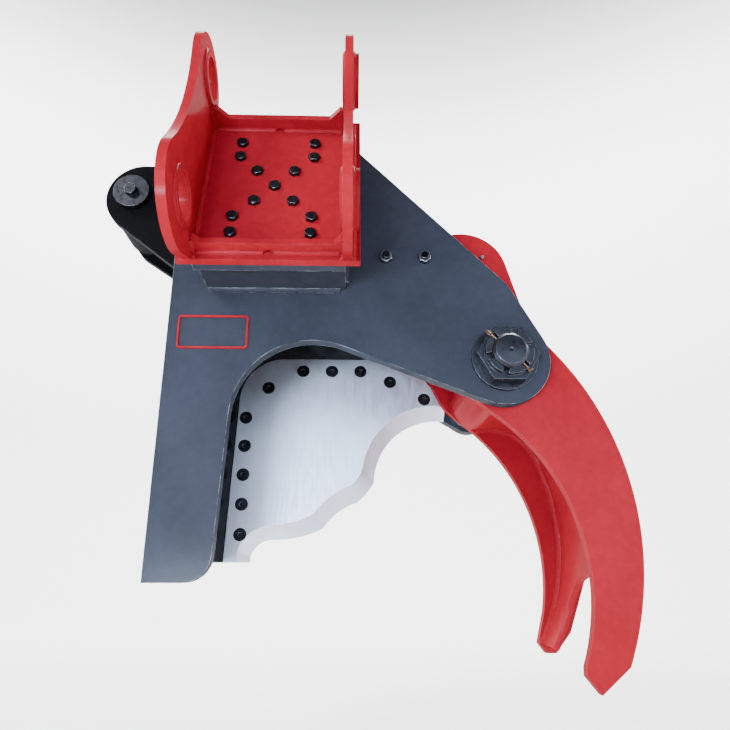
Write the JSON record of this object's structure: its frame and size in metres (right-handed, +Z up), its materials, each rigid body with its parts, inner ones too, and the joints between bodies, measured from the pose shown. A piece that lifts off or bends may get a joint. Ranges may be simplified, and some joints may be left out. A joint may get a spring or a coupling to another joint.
{
  "type": "excavator tree shear",
  "caption": "Hydraulic tree shear for a small excavator: tilted pin-on bracket, twin side plates, scalloped fixed blade and a ram-driven curved claw.",
  "frame": {"origin": "middle of the dipper pin bore, the lower bore of the bracket, half way between its two ears", "axes": "+X along the dipper pin bore towards the claw, +Y from the bracket through the side plates to the blade, +Z up towards the link pin bore"},
  "size_m": [0.8395, 0.57, 0.9447],
  "materials": {
    "red_paint": "gloss",
    "slate_paint": "satin",
    "black_paint": "gloss",
    "blade_steel": "ground",
    "black_oxide": "black oxide",
    "pin_steel": "machined",
    "hard_chrome": "polished",
    "bronze": "plain",
    "spring_steel": "oiled"
  },
  "bodies": {
    "frame": {"left_ear": "red_paint", "right_ear": "red_paint", "dipper_ear_bosses": "red_paint", "link_ear_bosses": "red_paint", "bracket_base_plate": "red_paint", "top_cross_plate": "red_paint", "bottom_cross_plate": "red_paint", "bracket_bolts": "black_oxide", "adapter_plate": "slate_paint", "left_wedge_cheek": "slate_paint", "right_wedge_cheek": "slate_paint", "wedge_rib": "slate_paint", "wedge_floor": "slate_paint", "front_side_plate": "slate_paint", "rear_side_plate": "slate_paint", "mouth_web": "black_paint", "back_web": "slate_paint", "top_web": "slate_paint", "front_cylinder_lug": "black_paint", "rear_cylinder_lug": "black_paint", "cylinder_base_pin": "pin_steel", "base_pin_keeper": "black_oxide", "base_pin_keeper_bolt": "black_oxide", "front_eye_spacer": "black_oxide", "rear_eye_spacer": "black_oxide", "shear_blade": "blade_steel", "blade_screws": "black_oxide", "blade_nuts": "black_oxide", "plate_studs": "black_oxide", "stud_nuts": "black_oxide", "main_pivot_pin": "black_oxide", "castle_nut": "black_oxide", "pivot_washer": "black_oxide", "cotter_pin": "spring_steel", "rear_pivot_spacer": "pin_steel", "front_thrust_ring": "bronze"},
    "barrel": {"cylinder_barrel": "black_paint", "port_bosses": "black_paint", "barrel_base_eye": "black_paint", "base_eye_bush": "bronze", "gland": "black_paint"},
    "rod": {"piston_rod": "hard_chrome", "piston": "pin_steel", "piston_nut": "black_oxide", "rod_eye": "black_paint"},
    "claw": {"front_claw_plate": "red_paint", "rear_claw_plate": "red_paint", "claw_web": "red_paint", "claw_hub_tube": "red_paint", "front_hub_bush": "bronze", "rear_hub_bush": "bronze", "crank_pin": "pin_steel", "front_crank_boss": "red_paint", "rear_crank_boss": "red_paint", "crank_web": "red_paint", "grease_nipple": "pin_steel"}
  },
  "joints": [
    {"name": "claw_swing", "type": "hinge", "parent": "frame", "child": "claw", "pos_m": [0.343, 0.318, -0.152], "axis": [0, 1, 0], "range_deg": [-4, 72]},
    {"name": "barrel_swing", "type": "hinge", "parent": "frame", "child": "barrel", "pos_m": [-0.261, 0.318, 0.166], "axis": [0, 1, 0], "range_deg": [-0.73, 0.05]},
    {"name": "rod_slide", "type": "slide", "parent": "barrel", "child": "rod", "axis": [0.955, 0, -0.2966], "range_m": [-0.0098, 0.1736]}
  ],
  "couplings": [
    {"joint": "barrel_swing", "follows": "claw_swing", "ratio": -0.01},
    {"joint": "rod_slide", "follows": "claw_swing", "m_per_rad": 0.138}
  ]
}
